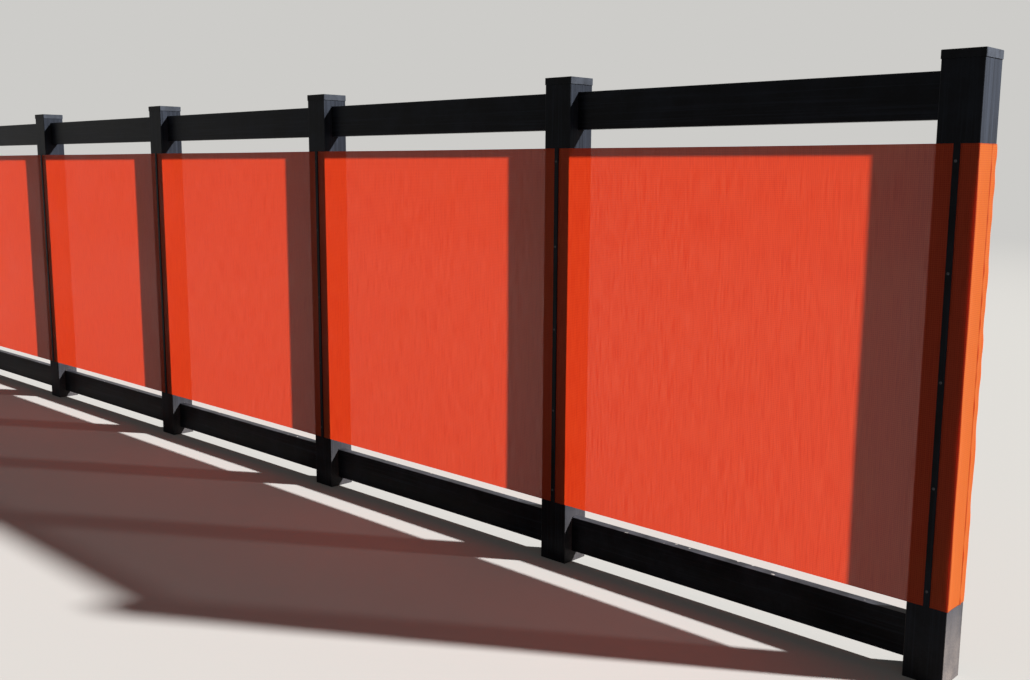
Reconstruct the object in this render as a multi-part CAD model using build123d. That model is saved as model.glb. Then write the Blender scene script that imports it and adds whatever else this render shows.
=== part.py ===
from build123d import *
import os

# Mesh screen fence: hollow posts routed for hollow rails, flat caps, and one length of woven mesh
# stretched over the fronts of the posts, held by a screwed batten on each and turned round both ends.
# Frame: +X runs along the fence, -Y faces the mesh side, +Z is up.
# The origin is the centre of the left end post's foot, at ground level.

# The run
bay_count = 5
bay_pitch = 1524.0

# Posts
post_width = 127.0
post_height = 1902.0
post_wall = 3.8
post_corner = 3.0

# Rails, their places on the posts, and the webs inside them
rail_thickness = 38.0
rail_height = 140.0
rail_wall = 2.5
rail_corner = 2.5
web_count = 2
web_wall = 1.8
ground_gap = 44.0
top_rail_drop = 52.0
rail_end_gap = 10.0

# Routed slots that the rails enter
slot_side_clearance = 0.5
slot_headroom = 1.0

# Locking tabs pressed out of the rail ends, which catch behind the post's wall
tab_rise = 2.0
tab_length = 9.0
tab_width = 16.0
tab_play = 0.5

# Caps
cap_wall = 2.2
cap_top = 3.0
cap_skirt = 23.0
cap_clearance = 0.3
cap_edge = 1.2

# Mesh
mesh_thickness = 1.0
mesh_slack = 0.3
mesh_over_bottom_rail = 60.0
mesh_under_top_rail = 70.0

# Battens and their screw holes
batten_width = 19.0
batten_thickness = 4.0
batten_edge = 1.0
screw_count = 5
screw_end_margin = 50.0
screw_hole = 4.8
mesh_past_screws = 6.0

# Places worked out from the sizes above
run_length = bay_count * bay_pitch
post_places = [number * bay_pitch for number in range(bay_count + 1)]
bottom_rail_low = ground_gap
top_rail_low = post_height - top_rail_drop - rail_height
mesh_low = bottom_rail_low + rail_height + mesh_over_bottom_rail
mesh_high = top_rail_low - mesh_under_top_rail
mesh_height = mesh_high - mesh_low
post_face = post_width / 2
mesh_back = post_face + mesh_slack
mesh_front = mesh_back + mesh_thickness
screw_spacing = (mesh_height - 2 * screw_end_margin) / (screw_count - 1)
screw_levels = [mesh_low + screw_end_margin + number * screw_spacing for number in range(screw_count)]


def across(x, z):
    """The plane square to the fence line at x, with its centre at height z and its own x along +Y."""
    return Plane(origin=(x, 0, z), x_dir=(0, 1, 0), z_dir=(1, 0, 0))


def post(x, slot_sides):
    """A hollow square post with a routed slot for each rail on the sides given, -1 or 1."""
    tube = RectangleRounded(post_width, post_width, post_corner)
    bore_width = post_width - 2 * post_wall
    tube -= Rectangle(bore_width, bore_width)
    made = extrude(tube, post_height)
    for side in slot_sides:
        for low in (bottom_rail_low, top_rail_low):
            middle = low + (rail_height + slot_headroom) / 2
            slot = Rectangle(rail_thickness + 2 * slot_side_clearance, rail_height + slot_headroom)
            made -= extrude(across(0, middle) * slot, side * post_width)
    return Pos(X=x) * made


def cap(x):
    """A flat cap: its skirt sleeves over the post and its top rests on the post's end."""
    socket_width = post_width + 2 * cap_clearance
    outer_width = socket_width + 2 * cap_wall
    outer_corner = post_corner + cap_clearance + cap_wall
    block = extrude(RectangleRounded(outer_width, outer_width, outer_corner), cap_skirt + cap_top)
    block = chamfer(block.edges().group_by(Axis.Z)[-1], cap_edge)
    socket = extrude(Rectangle(socket_width, socket_width), cap_skirt)
    return Pos(x, 0, post_height - cap_skirt) * (block - socket)


def rail(left_post, low):
    """A hollow rail with level webs inside, from inside one post to inside the next."""
    start = left_post + rail_end_gap / 2
    length = bay_pitch - rail_end_gap
    section = RectangleRounded(rail_thickness, rail_height, rail_corner)
    cell_height = (rail_height - 2 * rail_wall - web_count * web_wall) / (web_count + 1)
    cell = Rectangle(rail_thickness - 2 * rail_wall, cell_height)
    for spot in GridLocations(1, cell_height + web_wall, 1, web_count + 1):
        section -= spot * cell
    made = extrude(across(start, low + rail_height / 2) * section, length)
    for post_x, along in ((left_post, -1), (left_post + bay_pitch, 1)):
        catch = post_x - along * (post_face - post_wall - tab_play)
        for level, rise in ((low, -tab_rise), (low + rail_height, tab_rise)):
            made += locking_tab(catch, along, level, rise)
    return made


def locking_tab(catch, along, level, rise):
    """A wedge on a rail's edge: square where it catches behind the wall, sloping to the rail's end."""
    toe = catch + along * tab_length
    side = make_face(Polyline((catch, level), (catch, level + rise), (toe, level), close=True))
    return extrude(Plane.XZ * side, tab_width / 2, both=True)


def mesh_screen():
    """The mesh's flat run over the fronts of all the posts, to where it turns at the end posts."""
    reach = post_face - post_corner
    run = Pos(run_length / 2, -(mesh_back + mesh_thickness / 2)) * Rectangle(
        run_length + 2 * reach, mesh_thickness
    )
    return Pos(Z=mesh_low) * extrude(run, mesh_height)


def mesh_wrap(x, side):
    """An end of the mesh, round an end post's side and on to its back, to just past the screws."""
    wide = 2 * mesh_front
    sleeve = RectangleRounded(wide, wide, post_corner + mesh_slack + mesh_thickness)
    sleeve -= RectangleRounded(2 * mesh_back, 2 * mesh_back, post_corner + mesh_slack)
    turn = post_face - post_corner
    beside = Pos(side * (turn + post_width / 2), 0) * Rectangle(post_width, 2 * post_width)
    behind_width = mesh_past_screws + post_width
    behind = Pos(side * (behind_width / 2 - mesh_past_screws), post_width / 2) * Rectangle(
        behind_width, post_width
    )
    return Pos(x, 0, mesh_low) * extrude(sleeve & (beside + behind), mesh_height)


def batten(x, face):
    """A flat strip over the mesh on a post's front (-1) or back (1), with a hole for each screw."""
    middle = mesh_front + batten_thickness / 2
    strip = Pos(0, face * middle) * Rectangle(batten_width, batten_thickness)
    made = extrude(strip, mesh_height)
    outside = made.edges().filter_by(Axis.Z).group_by(Axis.Y)[0 if face < 0 else -1]
    made = Pos(x, 0, mesh_low) * chamfer(outside, batten_edge)
    for level in screw_levels:
        spot = Plane(origin=(x, face * (mesh_front - 1), level), z_dir=(0, face, 0))
        made -= extrude(spot * Circle(screw_hole / 2), batten_thickness + 2)
    return made


nodes = {}
for number, place in enumerate(post_places):
    first = number == 0
    last = number == bay_count
    slot_sides = ([] if first else [-1]) + ([] if last else [1])
    nodes[f"post_{number + 1}"] = post(place, slot_sides)
    nodes[f"cap_{number + 1}"] = cap(place)
    nodes[f"batten_{number + 1}"] = batten(place, -1)

for number, place in enumerate(post_places[:-1]):
    nodes[f"top_rail_{number + 1}"] = rail(place, top_rail_low)
    nodes[f"bottom_rail_{number + 1}"] = rail(place, bottom_rail_low)

nodes["mesh_screen"] = mesh_screen()
nodes["mesh_wrap_left"] = mesh_wrap(0, -1)
nodes["mesh_wrap_right"] = mesh_wrap(run_length, 1)
nodes["back_batten_left"] = batten(0, 1)
nodes["back_batten_right"] = batten(run_length, 1)

os.makedirs("parts", exist_ok=True)
for name, solid in nodes.items():
    export_step(solid, f"parts/{name}.step")
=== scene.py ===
import bpy
import math
import numpy as np
from mathutils import Matrix


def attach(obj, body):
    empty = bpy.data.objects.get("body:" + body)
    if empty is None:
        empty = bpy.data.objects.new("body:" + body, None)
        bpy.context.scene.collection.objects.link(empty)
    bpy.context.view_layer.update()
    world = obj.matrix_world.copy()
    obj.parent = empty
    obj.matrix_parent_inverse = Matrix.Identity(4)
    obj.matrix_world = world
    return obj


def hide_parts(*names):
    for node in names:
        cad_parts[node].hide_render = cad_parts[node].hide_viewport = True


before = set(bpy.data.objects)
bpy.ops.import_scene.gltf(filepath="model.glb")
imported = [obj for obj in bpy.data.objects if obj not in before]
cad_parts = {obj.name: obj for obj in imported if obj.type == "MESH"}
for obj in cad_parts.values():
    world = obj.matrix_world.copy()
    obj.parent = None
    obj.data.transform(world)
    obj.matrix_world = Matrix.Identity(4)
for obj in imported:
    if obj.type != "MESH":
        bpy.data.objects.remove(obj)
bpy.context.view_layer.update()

# The viewpoint: standing height, just outside the right end post and three metres in front of the mesh,
# looking along the run towards its left end, with the camera dipped a little and almost level.
eye = np.array([8.879, -3.2315, 1.555])
turn_left = math.radians(43.43)
dip = math.radians(8.84)
tilt = math.radians(0.34)
picture_width = 1030
focal_pixels = 1088.4

level_right = np.array([math.cos(turn_left), math.sin(turn_left), 0])
level_ahead = np.array([-math.sin(turn_left), math.cos(turn_left), 0])
straight_up = np.array([0, 0, 1])
ahead = level_ahead * math.cos(dip) - straight_up * math.sin(dip)
upward = level_ahead * math.sin(dip) + straight_up * math.cos(dip)
camera_right = level_right * math.cos(tilt) + upward * math.sin(tilt)
camera_up = upward * math.cos(tilt) - level_right * math.sin(tilt)
placing = np.eye(4)
placing[:3, :4] = np.column_stack([camera_right, camera_up, -ahead, eye])

camera_data = bpy.data.cameras.new("viewpoint")
camera_data.sensor_fit = "HORIZONTAL"
camera_data.sensor_width = 36
camera_data.lens = focal_pixels / picture_width * camera_data.sensor_width
camera_data.clip_end = 300
camera = bpy.data.objects.new("viewpoint", camera_data)
camera.matrix_world = Matrix(placing.tolist())
bpy.context.scene.collection.objects.link(camera)
bpy.context.scene.camera = camera
bpy.context.scene.view_settings.view_transform = "Standard"


# The posts: square hollow posts of black rigid PVC, pushed through a die and cut to length. The die
# leaves fine lines up the post, handling pales the corners, sun chalks one side, with a sky reflection
# painted there as well, and rain splashes the foot.
bay_count = 5
bay_pitch = 1.524
post_half = 0.0635
post_numbers = range(1, bay_count + 2)

# Real die lines are under a millimetre apart. They are drawn 8 mm apart and half a metre long, so that
# they show from a few metres away. Haze lies in patches a hand or two across, grit is 5 mm, and the
# droppings on level faces are up to 30 mm.
die_line_spacing = 0.008
die_line_length = 0.5
haze_patch = 0.18
grit = 0.005
dropping = 0.03
rub_width = 0.0035
post_splash_height = 0.36

# The index is that of rigid PVC. Chalk and dirt have dulled all of it, which takes its gloss down.
pvc_ior = 1.53
pvc_gloss = 0.05

# The sun stands to the right of the run and behind it. It chalks the faces that are turned to it, and a
# bluish sky reflection is painted on them along with the chalk. Across the last bay, towards the right end,
# the chalk with its painted reflection grows paler and the splashes thicker.
sun_side = (0.86, 0.50, 0.0)
ramp_start = 4.2 * bay_pitch
ramp_end = 4.9 * bay_pitch


def linear(code):
    """An sRGB hex colour as the linear red, green, blue and alpha that the shaders take."""
    parts = np.array([int(code[place:place + 2], 16) for place in (1, 3, 5)]) / 255
    bent = np.where(parts <= 0.04045, parts / 12.92, ((parts + 0.055) / 1.055) ** 2.4)
    return (*bent.tolist(), 1.0)


def new_material(name):
    """A material whose shader tree is still empty, and that tree."""
    made = bpy.data.materials.new(name)
    made.use_nodes = True
    made.node_tree.nodes.clear()
    return made, made.node_tree


def add_node(tree, kind, feeds=None, give=0, **options):
    """Adds one shader node, with its options, and gives the named output. Feeds are sockets or values."""
    made = tree.nodes.new("ShaderNode" + kind)
    for option, setting in options.items():
        setattr(made, option, setting)
    for place, feed in (feeds or {}).items():
        if isinstance(feed, bpy.types.NodeSocket):
            tree.links.new(feed, made.inputs[place])
        else:
            made.inputs[place].default_value = feed
    return made.outputs[give] if made.outputs else None


def turned_to_sun(tree, facing):
    """How far a face is turned to the sun's side: 0 when about side-on to it, and 1 within 37 degrees."""
    sunward = add_node(tree, "VectorMath", {0: facing, 1: sun_side}, "Value", operation="DOT_PRODUCT")
    return add_node(
        tree, "MapRange", {"Value": sunward, "From Min": 0.1, "From Max": 0.8},
        interpolation_type="SMOOTHSTEP",
    )


def turned_up(tree, facing, least_rise):
    """How far a face is turned up: 0 up to the least rise of its normal, and 1 when it is about level."""
    rise = add_node(tree, "SeparateXYZ", {0: facing}, give=2)
    return add_node(
        tree, "MapRange", {"Value": rise, "From Min": least_rise, "From Max": 0.95},
        interpolation_type="SMOOTHSTEP",
    )


def ramp_to_right_end(tree, place, low_share):
    """A ramp along the run: the low share up to the last bay, rising to 1 near the right end."""
    run = add_node(tree, "SeparateXYZ", {0: place}, give=0)
    return add_node(
        tree, "MapRange",
        {"Value": run, "From Min": ramp_start, "From Max": ramp_end, "To Min": low_share},
    )


def extruded_pvc(name, along, splash_height, splash, rubbed_corners=False):
    """Black rigid PVC, extruded: near black and satin, with die lines along one axis.

    Haze lies over it in broad patches, chalk with a painted sky reflection on the faces turned to the sun,
    dust with a painted sky reflection and droppings on what faces up, and dried splashes below
    splash_height. Roughness and relief follow the same patterns.
    """
    made, tree = new_material(name)
    place = add_node(tree, "TexCoord", give="Object")
    stretch = [1.0, 1.0, 1.0]
    stretch[along] = die_line_spacing / die_line_length
    drawn = add_node(tree, "Mapping", {"Vector": place, "Scale": stretch})
    lines = add_node(
        tree, "TexNoise",
        {"Vector": drawn, "Scale": 1 / die_line_spacing, "Detail": 3.0, "Roughness": 0.6},
    )
    haze = add_node(
        tree, "TexNoise", {"Vector": place, "Scale": 1 / haze_patch, "Detail": 5.0, "Roughness": 0.62}
    )
    specks = add_node(
        tree, "TexNoise", {"Vector": place, "Scale": 1 / grit, "Detail": 2.0, "Roughness": 0.7}
    )
    facing = add_node(tree, "NewGeometry", give="Normal")
    hazed = add_node(
        tree, "MapRange", {"Value": haze, "From Min": 0.38, "From Max": 0.72},
        interpolation_type="SMOOTHSTEP",
    )
    shade = add_node(
        tree, "Mix", {0: hazed, 6: linear("#0E0F13"), 7: linear("#1E2128")}, give=2, data_type="RGBA"
    )
    streaked = add_node(
        tree, "MapRange", {"Value": lines, "From Min": 0.46, "From Max": 0.72, "To Max": 0.28},
        interpolation_type="SMOOTHSTEP",
    )
    shade = add_node(
        tree, "Mix", {0: streaked, 6: shade, 7: linear("#363B46")}, give=2, data_type="RGBA"
    )

    # Chalk and painted sky reflection: a cool grey film on the faces turned to the sun, painted for their
    # chalk and for the bluish sky they reflect, thicker between the die lines and towards the right end.
    sunned = turned_to_sun(tree, facing)
    chalk_and_sheen_share = add_node(
        tree, "MapRange",
        {"Value": lines, "From Min": 0.36, "From Max": 0.64, "To Min": 0.26, "To Max": 0.50},
    )
    right_end_ramp = ramp_to_right_end(tree, place, 0.6)
    chalk_and_sky_sheen = add_node(tree, "Math", {0: sunned, 1: chalk_and_sheen_share}, operation="MULTIPLY")
    chalk_and_sky_sheen = add_node(tree, "Math", {0: chalk_and_sky_sheen, 1: right_end_ramp}, operation="MULTIPLY")
    shade = add_node(tree, "Mix", {0: chalk_and_sky_sheen, 6: shade, 7: linear("#4A505C")}, give=2, data_type="RGBA")

    # Rubs: where hands and tools have passed along the corners.
    if rubbed_corners:
        run = add_node(tree, "SeparateXYZ", {0: place}, give=0)
        off_centre = add_node(tree, "Math", {0: run, 1: bay_pitch / 2}, operation="PINGPONG")
        depth = add_node(tree, "SeparateXYZ", {0: place}, give=1)
        off_line = add_node(tree, "Math", {0: depth}, operation="ABSOLUTE")
        sideways = add_node(
            tree, "MapRange",
            {"Value": off_centre, "From Min": post_half - rub_width, "From Max": post_half},
            interpolation_type="SMOOTHSTEP",
        )
        outward = add_node(
            tree, "MapRange",
            {"Value": off_line, "From Min": post_half - rub_width, "From Max": post_half},
            interpolation_type="SMOOTHSTEP",
        )
        patchy = add_node(
            tree, "MapRange", {"Value": haze, "From Min": 0.35, "From Max": 0.6, "To Max": 0.7},
            interpolation_type="SMOOTHSTEP",
        )
        at_corner = add_node(tree, "Math", {0: sideways, 1: outward}, operation="MULTIPLY")
        rubbed = add_node(tree, "Math", {0: at_corner, 1: patchy}, operation="MULTIPLY")
        shade = add_node(
            tree, "Mix", {0: rubbed, 6: shade, 7: linear("#4A4B4F")}, give=2, data_type="RGBA"
        )

    # Dust and painted sky reflection: what faces up is painted a paler bluish grey in the haze's patches,
    # for its dust and for the sky it reflects, with a few pale dried droppings.
    level = turned_up(tree, facing, 0.5)
    lighter_on_top_amount = add_node(
        tree, "MapRange", {"Value": haze, "From Min": 0.25, "From Max": 0.75, "To Max": 0.36},
        interpolation_type="SMOOTHSTEP",
    )
    lighter_on_top = add_node(tree, "Math", {0: level, 1: lighter_on_top_amount}, operation="MULTIPLY")
    shade = add_node(tree, "Mix", {0: lighter_on_top, 6: shade, 7: linear("#74757C")}, give=2, data_type="RGBA")
    dabs = add_node(
        tree, "TexNoise", {"Vector": place, "Scale": 1 / dropping, "Detail": 1.0, "Roughness": 0.5}
    )
    dabbed = add_node(
        tree, "MapRange", {"Value": dabs, "From Min": 0.71, "From Max": 0.76, "To Max": 0.8},
        interpolation_type="SMOOTHSTEP",
    )
    dabbed = add_node(tree, "Math", {0: level, 1: dabbed}, operation="MULTIPLY")
    shade = add_node(tree, "Mix", {0: dabbed, 6: shade, 7: linear("#B2B0AB")}, give=2, data_type="RGBA")

    # Splashes: they thin out upwards, and lie thickest on faces that look along the run and towards its
    # right end.
    height = add_node(tree, "SeparateXYZ", {0: place}, give=2)
    low_down = add_node(
        tree, "MapRange", {"Value": height, "From Min": splash_height, "From Max": 0.0},
        interpolation_type="SMOOTHSTEP",
    )
    sideways_face = add_node(tree, "SeparateXYZ", {0: facing}, give=0)
    along_run = add_node(tree, "Math", {0: sideways_face}, operation="ABSOLUTE")
    thickness = add_node(
        tree, "MapRange", {"Value": along_run, "To Min": 0.06 * splash, "To Max": splash}
    )
    blotches = add_node(
        tree, "MapRange", {"Value": haze, "From Min": 0.4, "From Max": 0.62, "To Min": 0.6},
        interpolation_type="SMOOTHSTEP",
    )
    spatter = add_node(
        tree, "MapRange", {"Value": specks, "From Min": 0.3, "From Max": 0.7, "To Min": 0.6},
        interpolation_type="SMOOTHSTEP",
    )
    dirt = add_node(tree, "Math", {0: blotches, 1: spatter}, operation="MULTIPLY")
    dirt = add_node(tree, "Math", {0: dirt, 1: thickness}, operation="MULTIPLY")
    right_end_weight = add_node(tree, "Math", {0: right_end_ramp, 1: 2.0}, operation="POWER")
    dirt = add_node(tree, "Math", {0: dirt, 1: right_end_weight}, operation="MULTIPLY")
    splashed = add_node(tree, "Math", {0: dirt, 1: low_down}, operation="MULTIPLY")
    shade = add_node(tree, "Mix", {0: splashed, 6: shade, 7: linear("#92867E")}, give=2, data_type="RGBA")

    # Clean PVC is satin. Chalk, dust and dried splashes are matt.
    satin = add_node(
        tree, "MapRange", {"Value": haze, "From Min": 0.3, "From Max": 0.7, "To Min": 0.28, "To Max": 0.42}
    )
    covered = add_node(tree, "Math", {0: lighter_on_top, 1: splashed}, operation="MAXIMUM")
    covered = add_node(tree, "Math", {0: covered, 1: chalk_and_sky_sheen}, operation="MAXIMUM")
    rough = add_node(
        tree, "Math", {0: covered, 1: 0.35, 2: satin}, operation="MULTIPLY_ADD", use_clamp=True
    )
    ridges = add_node(tree, "Bump", {"Strength": 0.35, "Distance": 0.0004, "Height": lines})
    relief = add_node(
        tree, "Bump", {"Strength": 0.25, "Distance": 0.0003, "Height": specks, "Normal": ridges}
    )
    plastic = add_node(
        tree, "BsdfPrincipled",
        {"Base Color": shade, "Roughness": rough, "Normal": relief, "IOR": pvc_ior,
         "Specular IOR Level": pvc_gloss},
    )
    add_node(tree, "OutputMaterial", {"Surface": plastic})
    return made


post_pvc = extruded_pvc("extruded_black_pvc_post", 2, post_splash_height, 0.8, rubbed_corners=True)
for number in post_numbers:
    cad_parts[f"post_{number}"].data.materials[0] = post_pvc


# The caps: flat square caps of black PVC, moulded in one piece and pushed over the post ends. The mould
# gives them a fine even grain. They chalk as the posts do, with the same painted sky reflection on the
# side turned to the sun, and their tops hold dust in patches.
# The mould's grain is 0.3 mm across. It is drawn at 3 mm to show at all.
cap_grain = 0.003
cap_haze_patch = 0.045


def moulded_pvc(name):
    """Black PVC, injection moulded: stippled grain, a hazy sheen, chalk with a painted sky reflection on
    the side turned to the sun, and dust on what faces up.
    """
    made, tree = new_material(name)
    place = add_node(tree, "TexCoord", give="Object")
    grain = add_node(
        tree, "TexNoise", {"Vector": place, "Scale": 1 / cap_grain, "Detail": 2.0, "Roughness": 0.6}
    )
    haze = add_node(
        tree, "TexNoise", {"Vector": place, "Scale": 1 / cap_haze_patch, "Detail": 4.0, "Roughness": 0.6}
    )
    facing = add_node(tree, "NewGeometry", give="Normal")
    hazed = add_node(
        tree, "MapRange", {"Value": haze, "From Min": 0.35, "From Max": 0.7},
        interpolation_type="SMOOTHSTEP",
    )
    shade = add_node(
        tree, "Mix", {0: hazed, 6: linear("#0F1013"), 7: linear("#1D1F24")}, give=2, data_type="RGBA"
    )
    stippled = add_node(
        tree, "MapRange", {"Value": grain, "From Min": 0.5, "From Max": 0.75, "To Max": 0.4},
        interpolation_type="SMOOTHSTEP",
    )
    shade = add_node(
        tree, "Mix", {0: stippled, 6: shade, 7: linear("#222328")}, give=2, data_type="RGBA"
    )
    # Chalk and painted sky reflection: a cool grey on the side turned to the sun, more towards the right
    # end.
    sunned = turned_to_sun(tree, facing)
    chalk_and_sheen_share = add_node(
        tree, "MapRange", {"Value": haze, "From Min": 0.3, "From Max": 0.7, "To Min": 0.4, "To Max": 0.8}
    )
    right_end_ramp = ramp_to_right_end(tree, place, 0.7)
    chalk_and_sky_sheen = add_node(tree, "Math", {0: sunned, 1: chalk_and_sheen_share}, operation="MULTIPLY")
    chalk_and_sky_sheen = add_node(tree, "Math", {0: chalk_and_sky_sheen, 1: right_end_ramp}, operation="MULTIPLY")
    shade = add_node(tree, "Mix", {0: chalk_and_sky_sheen, 6: shade, 7: linear("#575C66")}, give=2, data_type="RGBA")
    level = turned_up(tree, facing, 0.6)
    lighter_on_top_amount = add_node(
        tree, "MapRange", {"Value": haze, "From Min": 0.3, "From Max": 0.7, "To Max": 0.45},
        interpolation_type="SMOOTHSTEP",
    )
    lighter_on_top = add_node(tree, "Math", {0: level, 1: lighter_on_top_amount}, operation="MULTIPLY")
    shade = add_node(tree, "Mix", {0: lighter_on_top, 6: shade, 7: linear("#7E7C7A")}, give=2, data_type="RGBA")
    covered = add_node(tree, "Math", {0: lighter_on_top, 1: chalk_and_sky_sheen}, operation="MAXIMUM")
    rough = add_node(tree, "MapRange", {"Value": covered, "To Min": 0.38, "To Max": 0.8})
    relief = add_node(tree, "Bump", {"Strength": 0.3, "Distance": 0.0003, "Height": grain})
    plastic = add_node(
        tree, "BsdfPrincipled",
        {"Base Color": shade, "Roughness": rough, "Normal": relief, "IOR": pvc_ior,
         "Specular IOR Level": pvc_gloss},
    )
    add_node(tree, "OutputMaterial", {"Surface": plastic})
    return made


cap_pvc = moulded_pvc("moulded_black_pvc_cap")
for number in post_numbers:
    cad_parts[f"cap_{number}"].data.materials[0] = cap_pvc


# The rails: hollow ribbed rails of the same black PVC, extruded, cut to the bay and locked into the
# posts' routed slots. They catch dust on top, painted paler with a sky reflection there, and the lower
# ones take splashes from the ground as well.
bay_numbers = range(1, bay_count + 1)
rail_splash_height = 0.26
rail_pvc = extruded_pvc("extruded_black_pvc_rail", 0, rail_splash_height, 0.9)
for number in bay_numbers:
    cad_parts[f"top_rail_{number}"].data.materials[0] = rail_pvc
    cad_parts[f"bottom_rail_{number}"].data.materials[0] = rail_pvc


# The mesh: one length of open cloth, woven from polyester yarn coated in orange PVC, stretched along the
# fronts of the posts. It turns round both end posts and ends under the battens on their backs.
mesh_low = 0.244
mesh_height = 1.396
mesh_middle = 0.0643
turn_radius = 0.0038
mesh_past_screws = 0.006
run_length = bay_count * bay_pitch

turn_start = mesh_middle - turn_radius
back_leg = turn_start + mesh_past_screws
side_leg = 2 * turn_start
front_leg = run_length + 2 * turn_start
quarter = turn_radius * math.pi / 2
legs = np.array([back_leg, quarter, side_leg, quarter, front_leg, quarter, side_leg, quarter, back_leg])

# The quarter turns lie between leg_ends 1 and 2 (back left), 3 and 4 (front left), 5 and 6 (front right),
# and 7 and 8 (back right).
leg_ends = np.concatenate([[0], np.cumsum(legs)])
headings = np.pi * np.array([1.0, 1.0, 1.5, 1.5, 2.0, 2.0, 2.5, 2.5, 3.0, 3.0])
mesh_length = float(leg_ends[-1])

# Each end of the cloth is pinched once: a low swelling up the post's side, with a thin fold standing on it.
fold_past_corner = 0.086
folds = (leg_ends[3] - fold_past_corner, leg_ends[6] + fold_past_corner)
swelling_height = 0.0016
swelling_width = 0.026
fold_height = 0.0034
fold_width = 0.0024

# At the end posts' front corners the cloth hangs a little loose, and at their back corners it gathers.
# Between posts it stands in or out a little, and its lower and upper edges draw in.
front_corners = (leg_ends[3:5].mean(), leg_ends[5:7].mean())
back_corners = (leg_ends[1:3].mean(), leg_ends[7:9].mean())
loose_height = 0.0036
loose_width = 0.016
gather_height = 0.0028
gather_width = 0.011

# The shortest and the longest of the waves up the cloth: in the fold, the loose corners and the gathers.
fold_waves = (0.04, 0.16)
loose_waves = (0.22, 0.75)
gather_waves = (0.06, 0.3)
swell_height = 0.0011
edge_lift = 0.0012


def steps_along(coarse, fine):
    """Stations along the cloth: each leg divided evenly, with closer ones at the turns and the folds."""
    counts = np.where(legs == quarter, math.ceil(quarter / fine), np.ceil(legs / coarse)).astype(int)
    shares = [np.arange(count) / count for count in counts]
    stations = [start + share * leg for start, share, leg in zip(leg_ends[:-1], shares, legs)]
    stations += [fold + np.linspace(-3, 3, 13) * fold_width for fold in folds]
    stations += [turn + np.linspace(-2, 2, 17) * loose_width for turn in front_corners + back_corners]
    return np.unique(np.concatenate([*stations, [mesh_length]]))


def cloth_line(along):
    """Where the cloth runs, seen from above, and its heading at each station.

    The heading turns evenly through each quarter turn. Each step is the chord of its own small arc: its
    length times sin(half the turn) / (half the turn), in the direction halfway between its two headings.
    """
    heading = np.interp(along, leg_ends, headings)
    turned = np.diff(heading)
    chord = np.diff(along) * np.sinc(turned / (2 * np.pi))
    between = heading[:-1] + turned / 2
    east = mesh_past_screws + np.concatenate([[0], np.cumsum(chord * np.cos(between))])
    north = mesh_middle + np.concatenate([[0], np.cumsum(chord * np.sin(between))])
    return east, north, heading


def bump_at(values, centre, width):
    """A round bump of height 1: exp(-((value - centre) / width) squared)."""
    return np.exp(-(((values - centre) / width) ** 2))


def puckers(height, shortest, longest, seed):
    """Uneven waves up the cloth: a sum of six sines of random length and phase, kept between 0 and 1."""
    random = np.random.default_rng(seed)
    lengths = random.uniform(shortest, longest, 6)
    starts = random.uniform(0, 2 * np.pi, 6)
    summed = np.sin(2 * np.pi * height[..., None] / lengths + starts).sum(-1)
    return np.clip(0.5 + 0.2 * summed, 0, 1)


def cloth_surface(along, up):
    """The cloth as a grid: the line above, carried from its lower edge to its upper one.

    Between posts it stands in or out, as sin(pi * share of the bay) times slow waves up the cloth. On
    the end posts' sides it has its swelling and fold, and it stands off their corners unevenly.
    """
    east, north, heading = cloth_line(along)
    length, height = np.meshgrid(along, up, indexing="ij")
    x = np.broadcast_to(east[:, None], length.shape)
    random = np.random.default_rng(11)
    share = np.clip(x / bay_pitch, 0, bay_count - 0.001)
    bay = share.astype(int)
    arch = np.sin(np.pi * (share - bay))
    swell = np.zeros(length.shape)
    for mode in (1, 2, 3):
        size = random.uniform(-swell_height, swell_height, bay_count)[bay]
        start = random.uniform(0, 2 * np.pi, bay_count)[bay]
        swell += size * np.sin(mode * np.pi * height / mesh_height + start)
    on_front = (length > leg_ends[4]) & (length < leg_ends[5])
    swell = np.where(on_front, arch * swell, 0)

    for fold, front_corner, back_corner, seed in zip(folds, front_corners, back_corners, (3, 8)):
        swell += swelling_height * bump_at(length, fold, swelling_width)
        pinch = 0.4 + 0.6 * puckers(height, *fold_waves, seed)
        swell += fold_height * bump_at(length, fold, fold_width) * pinch
        slack = puckers(height, *loose_waves, seed + 1)
        swell += loose_height * bump_at(length, front_corner, loose_width) * slack
        gather = puckers(height, *gather_waves, seed + 2)
        swell += gather_height * bump_at(length, back_corner, gather_width) * gather
    lift = edge_lift * arch * on_front * (1 - 2 * height / mesh_height)
    return np.stack(
        [x + swell * np.sin(heading)[:, None],
         north[:, None] - swell * np.cos(heading)[:, None],
         mesh_low + height + lift],
        axis=-1,
    )


def grid_faces(rows, columns):
    """The four corners of every cell of a grid, in the order that makes them face outwards."""
    first = (np.arange(rows - 1)[:, None] * columns + np.arange(columns - 1)).ravel()
    return np.stack([first, first + columns, first + columns + 1, first + 1], axis=-1)


def new_piece(name, points, faces, material):
    """A mesh object at the origin, with its place in its points, in one material and smooth."""
    mesh = bpy.data.meshes.new(name)
    mesh.from_pydata(points.reshape(-1, 3).tolist(), [], faces)
    mesh.materials.append(material)
    mesh.polygons.foreach_set("use_smooth", np.ones(len(mesh.polygons), bool))
    mesh.update()
    piece = bpy.data.objects.new(name, mesh)
    bpy.context.scene.collection.objects.link(piece)
    return piece


# The real yarns are 2.1 mm apart. They are drawn three times as far apart, because at their own spacing
# they would fall between the picture's pixels. Slubs, the thicker yarns, show as upright streaks 6 mm
# wide and a hand long. The cloth has faded in patches of half a metre. On the faces turned to the sun's
# side, its raised yarns are painted a paler, warmer orange: painted sunlight.
real_yarn_pitch = 0.0021
drawn_coarser = 3
yarn_pitch = drawn_coarser * real_yarn_pitch
slub_width = 0.0063
slub_length = 0.12
faded_patch = 0.43
sealed_edge = 0.002


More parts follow.
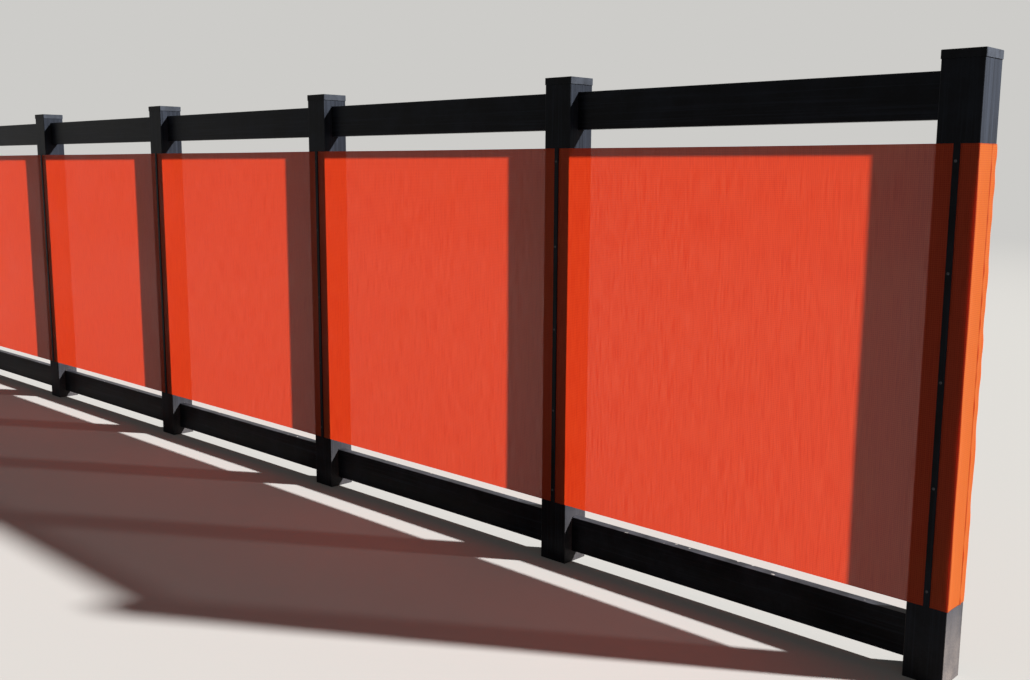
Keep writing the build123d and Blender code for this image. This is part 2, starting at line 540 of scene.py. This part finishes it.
def woven_mesh(name):
    """PVC-coated polyester, woven open: crossing yarns with a hole between each four of them.

    Holes: (1 - warp wave) squared times (1 - weft wave) squared. The yarn that lies on top changes at
    each crossing. Light from behind comes through the coating as a deeper orange, and least of all
    through the slubs.
    """
    made, tree = new_material(name)
    place = add_node(tree, "UVMap", uv_map="cloth")

    # A wave texture of scale 1 repeats every pi / 10.
    yarns = {}
    for way, across in (("warp", "X"), ("weft", "Y")):
        for repeat in (1, 2):
            yarns[way, repeat] = add_node(
                tree, "TexWave",
                {"Vector": place, "Scale": math.pi / 10 / (yarn_pitch * repeat), "Distortion": 0.5,
                 "Detail": 1.0, "Detail Scale": 0.6},
                "Fac", wave_type="BANDS", bands_direction=across,
            )
    gaps = []
    for way in ("warp", "weft"):
        beside = add_node(tree, "Math", {0: 1.0, 1: yarns[way, 1]}, operation="SUBTRACT")
        gaps.append(add_node(tree, "Math", {0: beside, 1: 2.0}, operation="POWER"))
    gap = add_node(tree, "Math", {0: gaps[0], 1: gaps[1]}, operation="MULTIPLY")
    # Drawn this coarse, clear holes would look like netting, so they are veiled: a crossing lets
    # through 2 in 100 and the middle of a hole 14, which makes about 4 over the whole cloth.
    hole = add_node(tree, "MapRange", {"Value": gap, "To Min": 0.02, "To Max": 0.14})

    drawn = add_node(tree, "Mapping", {"Vector": place, "Scale": (1.0, slub_width / slub_length, 1.0)})
    slubs = add_node(
        tree, "TexNoise", {"Vector": drawn, "Scale": 1 / slub_width, "Detail": 4.0, "Roughness": 0.7}
    )
    fading = add_node(
        tree, "TexNoise", {"Vector": place, "Scale": 1 / faded_patch, "Detail": 5.0, "Roughness": 0.6}
    )
    # The cut edges are sealed with heat, which closes the outermost yarns.
    height = add_node(tree, "SeparateXYZ", {0: place}, give=1)
    from_edge = add_node(tree, "Math", {0: height, 1: mesh_height / 2}, operation="SUBTRACT")
    from_edge = add_node(tree, "Math", {0: from_edge}, operation="ABSOLUTE")
    sealed = add_node(
        tree, "MapRange",
        {"Value": from_edge, "From Min": mesh_height / 2 - 1.5 * sealed_edge,
         "From Max": mesh_height / 2 - sealed_edge},
        interpolation_type="SMOOTHSTEP",
    )
    unsealed = add_node(tree, "Math", {0: 1.0, 1: sealed}, operation="SUBTRACT")
    openness = add_node(
        tree, "MapRange", {"Value": slubs, "From Min": 0.3, "From Max": 0.7, "To Min": 1.4, "To Max": 0.6}
    )
    opened = add_node(tree, "Math", {0: hole, 1: openness}, operation="MULTIPLY")
    opened = add_node(tree, "Math", {0: opened, 1: unsealed}, operation="MULTIPLY")
    solid = add_node(tree, "Math", {0: 1.0, 1: opened}, operation="SUBTRACT", use_clamp=True)

    # Over and under: the product of the two doubled waves changes sign at every crossing.
    swings = []
    for way in ("warp", "weft"):
        swings.append(add_node(tree, "MapRange", {"Value": yarns[way, 2], "To Min": -1.0}))
    crossing = add_node(tree, "Math", {0: swings[0], 1: swings[1]}, operation="MULTIPLY")
    over = add_node(tree, "MapRange", {"Value": crossing, "From Min": -1.0})
    relief = add_node(
        tree, "Mix", {0: over, 2: yarns["weft", 1], 3: yarns["warp", 1]}, data_type="FLOAT"
    )
    # Painted shading: at each crossing the yarn on top is painted lighter and the one beneath darker.
    painted_crown_light = add_node(
        tree, "MapRange", {"Value": relief, "From Min": 0.1, "From Max": 0.95},
        interpolation_type="SMOOTHSTEP",
    )
    shade = add_node(
        tree, "Mix", {0: painted_crown_light, 6: linear("#F04824"), 7: linear("#F86238")}, give=2, data_type="RGBA"
    )
    slubbed = add_node(
        tree, "MapRange", {"Value": slubs, "From Min": 0.5, "From Max": 0.75, "To Max": 0.5},
        interpolation_type="SMOOTHSTEP",
    )
    shade = add_node(tree, "Mix", {0: slubbed, 6: shade, 7: linear("#D6441E")}, give=2, data_type="RGBA")
    faded = add_node(
        tree, "MapRange", {"Value": fading, "From Min": 0.45, "From Max": 0.75, "To Max": 0.35},
        interpolation_type="SMOOTHSTEP",
    )
    shade = add_node(tree, "Mix", {0: faded, 6: shade, 7: linear("#F07A42")}, give=2, data_type="RGBA")
    # Painted sunlight: faces turned to the sun's side take a paler, warmer orange, most on the raised yarns.
    facing = add_node(tree, "NewGeometry", give="Normal")
    sunned = turned_to_sun(tree, facing)
    crown_light_share = add_node(tree, "MapRange", {"Value": painted_crown_light, "To Min": 0.5, "To Max": 0.95})
    painted_sun_warmth = add_node(tree, "Math", {0: sunned, 1: crown_light_share}, operation="MULTIPLY")
    shade = add_node(tree, "Mix", {0: painted_sun_warmth, 6: shade, 7: linear("#FF8834")}, give=2, data_type="RGBA")
    browned = add_node(tree, "Math", {0: sealed, 1: 0.6}, operation="MULTIPLY")
    shade = add_node(tree, "Mix", {0: browned, 6: shade, 7: linear("#CC4420")}, give=2, data_type="RGBA")
    thick = add_node(
        tree, "MapRange", {"Value": slubs, "From Min": 0.3, "From Max": 0.7},
        interpolation_type="SMOOTHSTEP",
    )
    glow = add_node(
        tree, "Mix", {0: thick, 6: linear("#FF4A18"), 7: linear("#F03910")}, give=2, data_type="RGBA"
    )
    rough = add_node(
        tree, "MapRange", {"Value": fading, "From Min": 0.3, "From Max": 0.7, "To Min": 0.42, "To Max": 0.6}
    )
    raised = add_node(tree, "Bump", {"Strength": 0.2, "Distance": 0.0006, "Height": relief})
    coating = add_node(
        tree, "BsdfPrincipled",
        {"Base Color": shade, "Roughness": rough, "Normal": raised, "IOR": 1.5, "Specular IOR Level": 0.3},
    )
    lit_through = add_node(tree, "BsdfTranslucent", {"Color": glow})
    yarn = add_node(tree, "MixShader", {0: 0.53, 1: coating, 2: lit_through})
    clear = add_node(tree, "BsdfTransparent")
    cloth = add_node(tree, "MixShader", {0: solid, 1: clear, 2: yarn})
    add_node(tree, "OutputMaterial", {"Surface": cloth})
    return made


run_step = 0.020
turn_step = 0.001
rows_up = 129
mesh_along = steps_along(run_step, turn_step)
mesh_up = np.linspace(0, mesh_height, rows_up)
mesh_points = cloth_surface(mesh_along, mesh_up)
mesh_faces = grid_faces(len(mesh_along), len(mesh_up))
mesh_cloth = new_piece("mesh_cloth", mesh_points, mesh_faces.tolist(), woven_mesh("woven_pvc_coated_mesh"))
flat_places = np.stack(np.meshgrid(mesh_along, mesh_up, indexing="ij"), axis=-1).reshape(-1, 2)
cloth_map = mesh_cloth.data.uv_layers.new(name="cloth")
cloth_map.uv.foreach_set("vector", flat_places[mesh_faces.ravel()].astype(np.float32).ravel())
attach(mesh_cloth, "root")
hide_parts("mesh_screen", "mesh_wrap_left", "mesh_wrap_right")


# The battens: flat strips of black PVC, one up the front of each post over the mesh and one up the back
# of each end post. They are extruded, cut to the mesh's height, and drilled for their screws.
batten_splash_height = 0.30
batten_pvc = extruded_pvc("extruded_black_pvc_batten", 2, batten_splash_height, 0.5)
batten_names = [f"batten_{number}" for number in post_numbers] + ["back_batten_left", "back_batten_right"]
for name in batten_names:
    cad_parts[name].data.materials[0] = batten_pvc


# The screws: pan-head steel screws with a black phosphate coat, five to a batten, driven through the
# mesh into the post's wall. Their heads are pressed, with a cross recess, and have worn to a dull grey.
screw_count = 5
screw_end_margin = 0.050
batten_face = 0.0688
head_radius = 0.0046
head_height = 0.0029
rim_height = 0.0009
shank_radius = 0.0021
recess_radius = 0.0023
recess_half_width = 0.0006
recess_depth = 0.0015
dome_rings = 11
around = 32
rust_bloom = 0.004


def screw_surface(turns):
    """A batten's screws, heads up: a profile of distance from the axis and height, carried round the axis.

    From the shank's end out along its foot, up the shank, out under the head, up the rim, and over a
    dome that is a quarter of an ellipse. The cross recess lowers the dome where either cross distance
    from the axis is under the recess's half width.
    """
    depth = batten_face - post_half
    dome = np.linspace(0, np.pi / 2, dome_rings, endpoint=False)
    radius = np.concatenate([[shank_radius, shank_radius, head_radius], head_radius * np.cos(dome)])
    height = np.concatenate([[-depth, 0, 0], rim_height + (head_height - rim_height) * np.sin(dome)])
    angle = np.linspace(0, 2 * np.pi, around, endpoint=False)
    across = radius[:, None] * np.cos(angle)
    upward = radius[:, None] * np.sin(angle)
    near_axis = np.minimum(np.abs(across), np.abs(upward)) < recess_half_width
    cut = near_axis & (radius[:, None] < recess_radius) & (height[:, None] > rim_height)
    rise = height[:, None] - recess_depth * cut
    foot = np.array([[0, 0, -depth]])
    crown = np.array([[0, 0, head_height - recess_depth]])
    ring_points = np.stack([across, upward, rise], axis=-1).reshape(-1, 3)
    points = np.concatenate([foot, ring_points, crown])
    turned = np.array([[np.cos(turns), -np.sin(turns)], [np.sin(turns), np.cos(turns)]])
    level = np.einsum("ijk,nj->kni", turned, points[:, :2])
    raised = np.broadcast_to(points[:, 2], level.shape[:2])
    return np.concatenate([level, raised[..., None]], axis=-1), len(radius)


def screw_faces(rings, screws):
    """Bands of four-sided faces between neighbouring rings, and a fan of triangles at each end."""
    step = np.arange(around)
    following = (step + 1) % around
    starts = 1 + around * np.arange(rings - 1)[:, None]
    bands = np.stack(
        [starts + step, starts + following, starts + around + following, starts + around + step], axis=-1
    ).reshape(-1, 4)
    last = 1 + around * (rings - 1)
    foot_fan = np.stack([np.zeros_like(step), 1 + following, 1 + step], axis=-1)
    crown_fan = np.stack([np.full_like(step, last + around), last + step, last + following], axis=-1)
    size = 2 + around * rings
    shifts = size * np.arange(screws)[:, None, None]
    return (shifts + bands).reshape(-1, 4).tolist() + (
        (shifts + np.concatenate([foot_fan, crown_fan])).reshape(-1, 3).tolist()
    )


def coated_steel(name):
    """Steel under a black phosphate coat, left outdoors: dull grey, with brown blooms 4 mm across."""
    made, tree = new_material(name)
    place = add_node(tree, "TexCoord", give="Object")
    bloom = add_node(
        tree, "TexNoise", {"Vector": place, "Scale": 1 / rust_bloom, "Detail": 3.0, "Roughness": 0.6}
    )
    browned = add_node(
        tree, "MapRange", {"Value": bloom, "From Min": 0.5, "From Max": 0.72},
        interpolation_type="SMOOTHSTEP",
    )
    shade = add_node(
        tree, "Mix", {0: browned, 6: linear("#3C3D41"), 7: linear("#3C2F27")}, give=2, data_type="RGBA"
    )
    rough = add_node(
        tree, "MapRange", {"Value": bloom, "From Min": 0.3, "From Max": 0.7, "To Min": 0.36, "To Max": 0.6}
    )
    relief = add_node(tree, "Bump", {"Strength": 0.2, "Distance": 0.0002, "Height": bloom})
    steel = add_node(
        tree, "BsdfPrincipled",
        {"Base Color": shade, "Roughness": rough, "Normal": relief, "Metallic": 1.0},
    )
    add_node(tree, "OutputMaterial", {"Surface": steel})
    return made


screw_steel = coated_steel("black_phosphated_steel")
screw_levels = mesh_low + np.linspace(screw_end_margin, mesh_height - screw_end_margin, screw_count)
driven = np.random.default_rng(7)
screw_rows = [(f"screws_{number}", (number - 1) * bay_pitch, -1) for number in post_numbers]
screw_rows += [("back_screws_left", 0.0, 1), ("back_screws_right", run_length, 1)]
for name, post_place, face in screw_rows:
    shapes, rings = screw_surface(driven.uniform(0, np.pi / 2, screw_count))
    screw_points = np.stack(
        [post_place - face * shapes[..., 0],
         face * (batten_face + shapes[..., 2]),
         screw_levels[:, None] + shapes[..., 1]],
        axis=-1,
    )
    screws = new_piece(name, screw_points, screw_faces(rings, screw_count), screw_steel)
    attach(screws, "root")


# The floor: a plain pale floor that the posts stand on. It throws little light back up at the run. Far
# away it fades into the backdrop's colour, so that no edge shows behind.
backdrop = "#CDCCC9"
floor_half = 120.0
fade_start = 7.0
fade_end = 26.0


def plainly_seen(tree):
    """1 where the camera sees a thing directly, in gloss or through something clear, and else 0.

    Light that the cloth scatters through itself counts as transmitted and as diffuse, so the diffuse
    rays are taken off.
    """
    directly = add_node(tree, "LightPath", give="Is Camera Ray")
    in_gloss = add_node(tree, "LightPath", give="Is Glossy Ray")
    through_clear = add_node(tree, "LightPath", give="Is Transmission Ray")
    scattered = add_node(tree, "LightPath", give="Is Diffuse Ray")
    plainly = add_node(tree, "Math", {0: directly, 1: in_gloss}, operation="MAXIMUM")
    plainly = add_node(tree, "Math", {0: plainly, 1: through_clear}, operation="MAXIMUM")
    return add_node(tree, "Math", {0: plainly, 1: scattered}, operation="SUBTRACT", use_clamp=True)


floor_material, floor_tree = new_material("plain_pale_floor")
floor_place = add_node(floor_tree, "TexCoord", give="Object")
from_middle = add_node(
    floor_tree, "VectorMath", {0: floor_place, 1: (run_length / 2, 0, 0)}, "Value", operation="DISTANCE"
)
distant = add_node(
    floor_tree, "MapRange", {"Value": from_middle, "From Min": fade_start, "From Max": fade_end},
    interpolation_type="SMOOTHSTEP",
)
seen = plainly_seen(floor_tree)
floor_shade = add_node(
    floor_tree, "Mix", {0: seen, 6: linear("#4B4A49"), 7: linear("#B3B1AD")}, give=2, data_type="RGBA"
)
matt = add_node(floor_tree, "BsdfDiffuse", {"Color": floor_shade})
faded_out = add_node(floor_tree, "Emission", {"Color": linear(backdrop), "Strength": 1.0})
fade = add_node(floor_tree, "Math", {0: distant, 1: seen}, operation="MULTIPLY")
floor_finish = add_node(floor_tree, "MixShader", {0: fade, 1: matt, 2: faded_out})
add_node(floor_tree, "OutputMaterial", {"Surface": floor_finish})
floor_corners = np.array([[-1, -1, 0], [1, -1, 0], [1, 1, 0], [-1, 1, 0]]) * floor_half
floor = new_piece("floor", floor_corners, [[0, 1, 2, 3]], floor_material)


# The light: a soft lamp behind the run and to its right, which shines through the mesh, a weak broad one
# in front, and an even pale surround.
def far_lamp(name, direction, spread, strength):
    """A far lamp: direction points from the run to the lamp, and spread is how wide it looks, in degrees."""
    data = bpy.data.lights.new(name, "SUN")
    data.energy = strength
    data.angle = math.radians(spread)
    lamp = bpy.data.objects.new(name, data)
    back = np.array(direction) / np.linalg.norm(direction)
    side = np.cross(straight_up, back)
    side /= np.linalg.norm(side)
    turned = np.eye(4)
    turned[:3, :3] = np.column_stack([side, np.cross(back, side), back])
    lamp.matrix_world = Matrix(turned.tolist())
    bpy.context.scene.collection.objects.link(lamp)


far_lamp("lamp_behind_right", (0.70, 0.45, 0.57), 2.5, 8.6)
far_lamp("lamp_in_front", (-0.35, -0.9, 0.9), 60, 0.05)

world = bpy.data.worlds.new("pale_surround")
world.use_nodes = True
world.node_tree.nodes.clear()
plainly = plainly_seen(world.node_tree)
dim = add_node(world.node_tree, "Background", {"Color": linear("#FFFFFF"), "Strength": 0.11})
plain = add_node(world.node_tree, "Background", {"Color": linear(backdrop), "Strength": 1.0})
surround = add_node(world.node_tree, "MixShader", {0: plainly, 1: dim, 2: plain})
add_node(world.node_tree, "OutputWorld", {"Surface": surround})
bpy.context.scene.world = world
